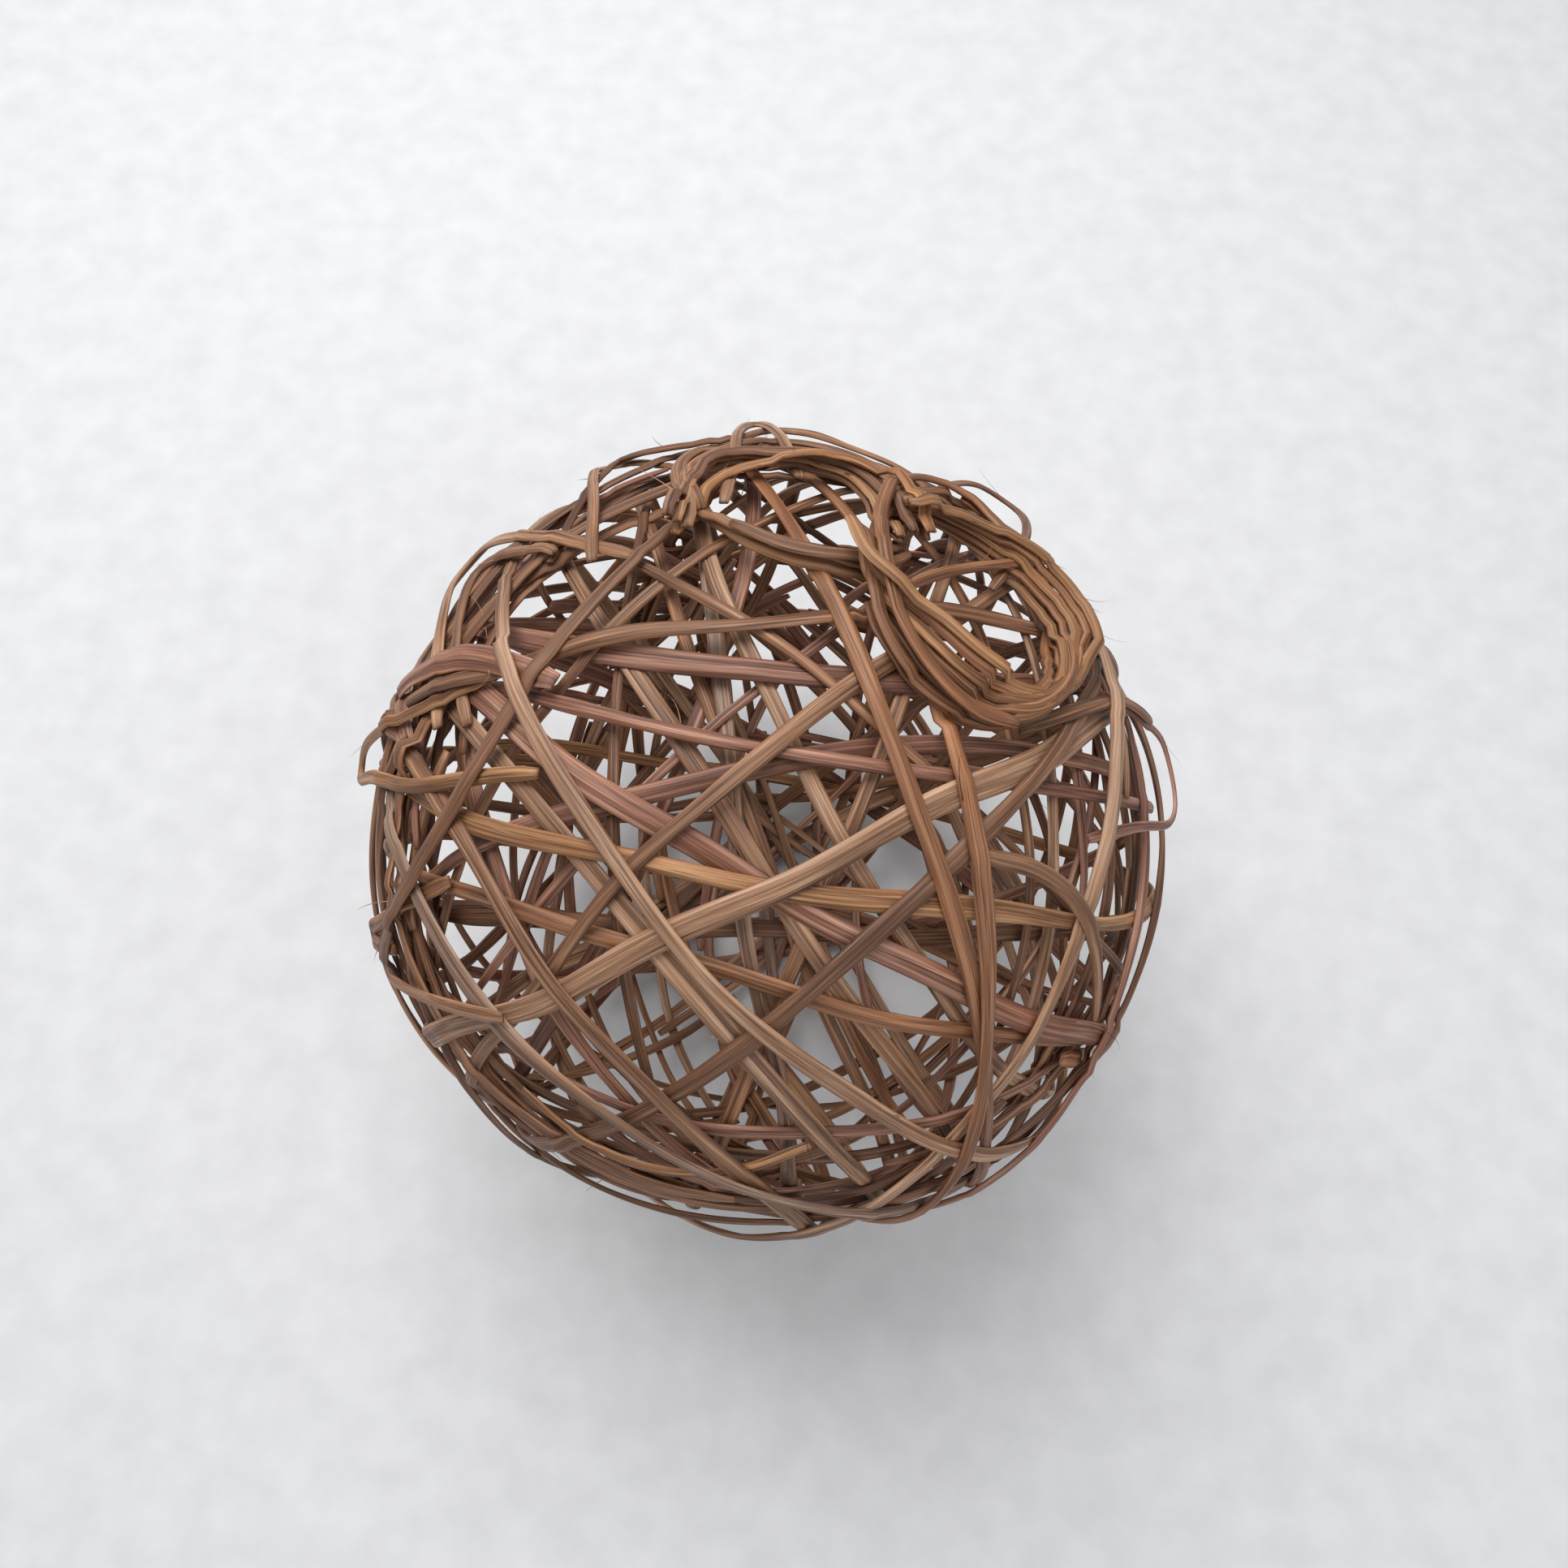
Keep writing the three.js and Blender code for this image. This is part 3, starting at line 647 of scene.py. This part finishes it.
def settle(first, second, apart, order):
    """Heights at which no strip cuts another, each strip as smooth as that allows."""
    room = (thickness[first] + thickness[second]) / 2 + AIR
    room *= 1 - EDGE_SHARE * np.clip((apart - EDGE_START) / (1 - EDGE_START), 0, 1)
    outer = np.where(order > 0, first, second)
    inner = np.where(order > 0, second, first)
    heights = np.concatenate([strip.heights for strip in strips])
    wanted = heights.copy()
    drop = np.minimum(outward[:, 2], -1e-6)
    ceiling = np.where(outward[:, 2] < UNDERSIDE, (thickness / 2 - CENTRE[2]) / drop, np.inf)
    lift_outer = strongest_at(outer)
    push_inner = strongest_at(inner)
    for round_number in range(SETTLE_ROUNDS + PUSH_ONLY_ROUNDS):
        if round_number < SETTLE_ROUNDS:
            for begin, end in zip(starts, starts[1:]):
                own = heights[begin:end]
                own += STIFFNESS * (soften(own, STIFF_REACH) - own)
            heights += HOLD * (wanted - heights)
        short = np.maximum(room - (heights[outer] - heights[inner]), 0) / 2
        places, pushes = lift_outer(short)
        change = np.zeros(len(heights))
        change[places] += pushes
        places, pushes = push_inner(short)
        change[places] -= pushes
        heights += PUSH_SHARE * change
        heights = np.minimum(heights, ceiling)
    short = room - (heights[outer] - heights[inner])
    return heights, short


heights, short = settle(first, second, apart, order)
for strip in strips:
    strip.heights = heights[starts[strip.number]:starts[strip.number + 1]]
print("wall from", heights.min().round(4), "to", heights.max().round(4), "m;",
      int((short > 0.3 * MM).sum()), "pairs still short of room, worst", short.max().round(5))

# %% [markdown]
# ## The section of a strip
#
# A strip is split from a round vine and then shaved, so its back is nearly flat and its face is
# gently crowned, with shallow grooves where the fibres have parted. The section is drawn as a
# ring of points: a dense row over the face, where the grooves need them, and a few on the back.
# Rings placed along the route and joined to the next make the skin.

# %% One ring of the section
FACE_POINTS = 13
BACK_POINTS = 5
CROWDING = 0.94  # the nearer to 1, the closer the points crowd at the edges
BACK_SHARE = 0.8  # of the strip's width that its flat back takes up
face = np.sin(np.linspace(-np.pi / 2, np.pi / 2, FACE_POINTS) * CROWDING)
face /= face.max()
back = np.linspace(BACK_SHARE, -BACK_SHARE, BACK_POINTS)
ring_across = np.concatenate([face, back])
on_face = np.concatenate([np.ones(FACE_POINTS), np.zeros(BACK_POINTS)])
RING = len(ring_across)
print("each ring has", RING, "points")

# %% [markdown]
# ### Grooves
#
# The grooves of real vine run along it, drift from side to side, and close up again. So
# each groove here is a soft dip in the face, whose place and depth follow slow random waves.

# %% Grooves that come and go
GROOVE_DEPTH = 0.3 * MM
GROOVE_SPREAD = 0.75  # of the half width, to each side of the middle
GROOVE_DRIFT = 0.22


def grooves(strip, lines):
    """How far the face sinks at each step and each point of the ring."""
    sunk = np.zeros((len(strip.along), RING))
    for _ in range(lines):
        middle = strip.dice.uniform(-GROOVE_SPREAD, GROOVE_SPREAD)
        middle = middle + GROOVE_DRIFT * wander(strip.dice, strip.along, 0.1, 0.5)
        narrow = strip.dice.uniform(0.1, 0.2)
        depth = np.clip(0.35 + 0.75 * wander(strip.dice, strip.along, 0.05, 0.3), 0, 1.2)
        shape = np.exp(-(((ring_across[None, :] - middle[:, None]) / narrow) ** 2))
        sunk += GROOVE_DEPTH * depth[:, None] * shape
    return sunk * on_face


# %% [markdown]
# ### The skin
#
# The ring is set square across the route at every step and leans a little to one side or the
# other, as vine does. Where a strip lies on the floor it doesn't lean, so the ball sits flat.

# %% The skin of one strip
ROLL = math.radians(11)
ON_GROUND = 3 * MM
CROWN_WIDTH = 0.97  # below 1, so that the edges keep a little thickness
BACK_FLATNESS = 0.75
THINNEST = 0.25  # of half the thickness, at the bottom of the deepest groove
CUT_STEPS = 2
CUT_WIDTH = 0.72


def skin(strip):
    """Points of the strip's surface, one ring for each step."""
    side = strip.sideways()
    roll = ROLL * wander(strip.dice, strip.along, 0.05, 0.2)
    roll = np.where(strip.points()[:, 2] < ON_GROUND, 0, roll)
    leaning = side * np.cos(roll)[:, None] + strip.outward * np.sin(roll)[:, None]
    rising = strip.outward * np.cos(roll)[:, None] - side * np.sin(roll)[:, None]
    fullness = strip.dice.uniform(2.0, 3.6)
    crown = (1 - np.abs(ring_across * CROWN_WIDTH) ** fullness) ** 0.5
    half = strip.thickness[:, None] / 2
    sunk = grooves(strip, strip.dice.integers(3, 6))
    face_height = half * (2 * crown - 1) - sunk * strip.thickness[:, None] / VINE_THICKNESS
    back_height = -half * (BACK_FLATNESS + (1 - BACK_FLATNESS) * crown)
    # The depth of the grooves, from 0 to 1, kept for the painted shade that the finish lays in them.
    strip.sunk = np.clip(sunk / GROOVE_DEPTH, 0, 1)
    face_height = np.maximum(face_height, back_height + THINNEST * half)
    height = np.where(on_face > 0, face_height, back_height)
    width = strip.half_width[:, None] * ring_across[None, :]
    # A cut end narrows a little, as a knife leaves it.
    steps = np.arange(len(width))
    taper = np.clip(np.minimum(steps, steps[::-1]) / CUT_STEPS, 0, 1)
    taper = (CUT_WIDTH + (1 - CUT_WIDTH) * taper)[:, None]
    return (strip.points()[:, None, :] + leaning[:, None, :] * (width * taper)[..., None]
            + rising[:, None, :] * (height * taper)[..., None])


# %% [markdown]
# ## From rings to a mesh
#
# Each piece of skin also carries numbers that the material will read: how far along the strip a
# point is, how far across, and which strip it belongs to. They are stored on the points as
# attributes. That way the grain always runs along the vine, however it bends.

# %% Building the mesh


def tube_faces(rings, ring):
    """Four-sided faces that join each ring of points to the next, and the two end caps."""
    start = (np.arange(rings - 1) * ring)[:, None]
    here = np.arange(ring)[None, :]
    after = (here + 1) % ring
    sides = np.stack([start + here, start + after, start + ring + after, start + ring + here], axis=-1)
    caps = [list(range(ring))[::-1], list(range((rings - 1) * ring, rings * ring))]
    return sides.reshape(-1, 4).tolist() + caps


def store(mesh, name, values):
    """Keeps one number for each point of a mesh."""
    mesh.attributes.new(name, "FLOAT", "POINT").data.foreach_set("value", np.ravel(values).astype(np.float32))


def make_piece(name, points, faces, material, numbers):
    """A smooth-shaded mesh object with its numbers and its material."""
    mesh = bpy.data.meshes.new(name)
    mesh.from_pydata(points.reshape(-1, 3).tolist(), [], faces)
    mesh.polygons.foreach_set("use_smooth", [True] * len(mesh.polygons))
    for label, values in numbers.items():
        store(mesh, label, values)
    mesh.materials.append(material)
    mesh.update()
    piece = bpy.data.objects.new(name, mesh)
    bpy.context.scene.collection.objects.link(piece)
    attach(piece, "root")
    return piece

# %% [markdown]
# ## The finish of dry vine
#
# Bare split vine is matt, with a faint waxy sheen on the crowns. Fine dark and pale fibres run
# along it, some of them open cracks. The pale fibres also stand in as painted highlights, and the
# grooves are darkened by their depth as painted shade. Slower drifts of colour run from straw to
# rose. The grain is noise stretched a long way along the strip. Each tone has its own material,
# and the number of the strip shifts the noise so that no two look the same.

# %% The vine material
# Each tone is dark, body and pale. The pale streaks of the grain are partly painted highlight, and the dark
# also serves as the painted shade in the grooves.
TONES = {
    "rose": (0x4A2A1E, 0x8F614C, 0xCFA28B),
    "golden": (0x50301B, 0x9A6C45, 0xD2A67A),
    "orange": (0x4F2D18, 0x8F6040, 0xC1906A),
    "tan": (0x462A1B, 0x8A6145, 0xC69A78),
    "light": (0x523626, 0x9D7557, 0xD8B396),
    "grey": (0x473428, 0x8B6B56, 0xC9AA94),
    "brown": (0x3A2215, 0x765037, 0xB48666),
}
STRIP_SHIFT = 7.31  # moves the noise on from one strip to the next
CRACK_COLOUR = 0x35231A
BUMP_DEPTH = 0.25 * MM


def vine_material(tone):
    """Dry split vine in one tone: dark, body and pale laid on as grain, the pale also a painted highlight and
    the dark also painted shade in the grooves.
    """
    material, tree, shader = new_material("vine_" + tone)
    dark, body, pale = (from_hex(code) for code in TONES[tone])
    along = add_node(tree, "ShaderNodeAttribute", attribute_name="along").outputs["Fac"]
    side = add_node(tree, "ShaderNodeAttribute", attribute_name="side").outputs["Fac"]
    strip_number = add_node(tree, "ShaderNodeAttribute", attribute_name="strip").outputs["Fac"]
    sunk = add_node(tree, "ShaderNodeAttribute", attribute_name="sunk").outputs["Fac"]
    shift = calculate(tree, "MULTIPLY", strip_number, STRIP_SHIFT)

    def grain(per_metre_along, per_metre_across, detail, roughness=0.6):
        """Noise stretched along the strip."""
        spot = add_node(tree, "ShaderNodeCombineXYZ", {
            "X": calculate(tree, "MULTIPLY", along, per_metre_along),
            "Y": calculate(tree, "MULTIPLY", side, per_metre_across),
            "Z": shift,
        }).outputs[0]
        return add_node(tree, "ShaderNodeTexNoise", {
            "Vector": spot, "Scale": 1.0, "Detail": detail, "Roughness": roughness,
        }).outputs["Fac"]

    fibres = grain(45.0, 2400.0, 4.0)
    streaks = grain(14.0, 650.0, 3.0)
    cracks = grain(22.0, 1100.0, 2.0)
    drift = grain(9.0, 60.0, 2.0)

    # Grain streaks from dark to pale; the pale end also paints highlights onto the strips.
    colour = colour_ramp(tree, streaks, [(0.33, dark), (0.5, body), (0.68, pale)])
    fine = colour_ramp(tree, fibres, [(0.36, dark), (0.52, body), (0.66, pale)])
    colour = blend_colours(tree, "MIX", 0.45, colour, fine)
    tint = colour_ramp(tree, drift, [
        (0.3, from_hex(0xB79F93)), (0.5, from_hex(0xFFFFFF)), (0.7, from_hex(0xFFE9CF)),
    ])
    colour = blend_colours(tree, "MULTIPLY", 0.8, colour, tint)
    crack = colour_ramp(tree, cracks, [(0.30, (1, 1, 1, 1)), (0.37, (0, 0, 0, 1))])
    crack_share = calculate(tree, "MULTIPLY", crack, 0.75)
    colour = blend_colours(tree, "MIX", crack_share, colour, from_hex(CRACK_COLOUR))
    # Painted shade: the face is darkened towards the dark tone where the grooves sink deepest.
    colour = blend_colours(tree, "MIX", calculate(tree, "MULTIPLY", sunk, 0.6, clamp=True), colour, dark)
    tree.links.new(colour, shader.inputs["Base Color"])

    rough = add_node(tree, "ShaderNodeMapRange", {"Value": fibres, "From Min": 0.3, "From Max": 0.7,
                                                  "To Min": 0.62, "To Max": 0.48}).outputs[0]
    tree.links.new(rough, shader.inputs["Roughness"])
    shader.inputs["Specular IOR Level"].default_value = 0.42
    relief = calculate(tree, "ADD", calculate(tree, "MULTIPLY", fibres, 0.5), streaks)
    relief = calculate(tree, "SUBTRACT", relief, calculate(tree, "MULTIPLY", crack, 0.6))
    bump = add_node(tree, "ShaderNodeBump", {"Height": relief, "Strength": 0.55, "Distance": BUMP_DEPTH})
    tree.links.new(bump.outputs[0], shader.inputs["Normal"])
    return material


finishes = {tone: vine_material(tone) for tone in TONES}
print(len(finishes), "finishes")

# %% [markdown]
# ## Dressing the plain strips
#
# Each strip of the plain model is hidden and the bent, grooved one stands in its place.

# %% The strips


def dress(strip):
    """Builds the skin of one strip and lets it stand for its plain node."""
    points = skin(strip)
    numbers = {
        "along": np.repeat(strip.along, RING),
        "side": strip.half_width[:, None] * ring_across[None, :],
        "strip": np.full(points.shape[0] * RING, strip.number + 1.0),
        "sunk": strip.sunk,
    }
    piece = make_piece(strip.name, points, tube_faces(len(points), RING), finishes[strip.tone], numbers)
    if strip.node:
        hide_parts(strip.node)
    return piece


pieces = [dress(strip) for strip in strips]
print(len(pieces), "strips dressed,", sum(len(piece.data.polygons) for piece in pieces), "faces")

# %% [markdown]
# ## Torn fibres
#
# Splitting tears the edges of the vine, and thin hairs and slivers stand off it. Each is a tiny
# tapered blade that leaves an edge at a low angle and curls. They are one piece, made in a loop.

# %% Torn fibres
FIBRES = 230
FIBRE_STEPS = 9
SHORT_FIBRES = 0.75  # the part of them that is short
EDGE = 0.8  # of the half width, where a fibre leaves its strip
TIP = 0.15  # of the thickness, that is left at the tip
FIBRE_SECTION = np.array([[1, 0.3], [-1, 0.3], [0, -0.6]])


def torn_fibre(dice, strip):
    """The points of one hair, three to a ring, tapering to its tip."""
    at = dice.integers(6, len(strip.along) - 6)
    edge = dice.choice([-1, 1])
    outwards = strip.outward[at]
    sideways = strip.sideways()[at] * edge
    forwards = np.cross(outwards, sideways) * edge * dice.choice([-1, 1])
    length = dice.uniform(4, 9) * MM if dice.uniform() < SHORT_FIBRES else dice.uniform(9, 20) * MM
    part = np.linspace(0, 1, FIBRE_STEPS)[:, None]
    curl = dice.uniform(-1.4, 1.4)
    start = strip.points()[at] + sideways * strip.half_width[at] * EDGE
    away = dice.uniform(0.15, 0.5)
    line = start + length * (forwards * np.sin(part * (1 + abs(curl))) / (1 + abs(curl))
                             + sideways * away * part + outwards * (0.1 + dice.uniform(0, 0.45)) * part
                             + sideways * 0.35 * curl * part**2)
    thick = dice.uniform(0.1, 0.24) * MM * (1 - (1 - TIP) * part)
    section = FIBRE_SECTION[:, :1] * sideways + FIBRE_SECTION[:, 1:] * outwards
    return line[:, None, :] + thick[..., None] * section


dice = np.random.default_rng(2024)
fibre_points = []
fibre_faces = []
for _ in range(FIBRES):
    strip = strips[dice.integers(len(strips))]
    points = torn_fibre(dice, strip)
    if points[..., 2].min() < MM:
        continue
    begin = 3 * FIBRE_STEPS * len(fibre_points)
    fibre_points.append(points)
    fibre_faces += [[begin + corner for corner in corners] for corners in tube_faces(FIBRE_STEPS, 3)]
fibre_points = np.concatenate(fibre_points)
count = len(fibre_points) * 3
numbers = {
    "along": fibre_points[..., 0],
    "side": np.zeros(count),
    "strip": np.ones(count),
    "sunk": np.zeros(count),
}
fibres = make_piece("torn_fibres", fibre_points, fibre_faces, finishes["light"], numbers)
print(len(fibre_faces), "faces of torn fibre")
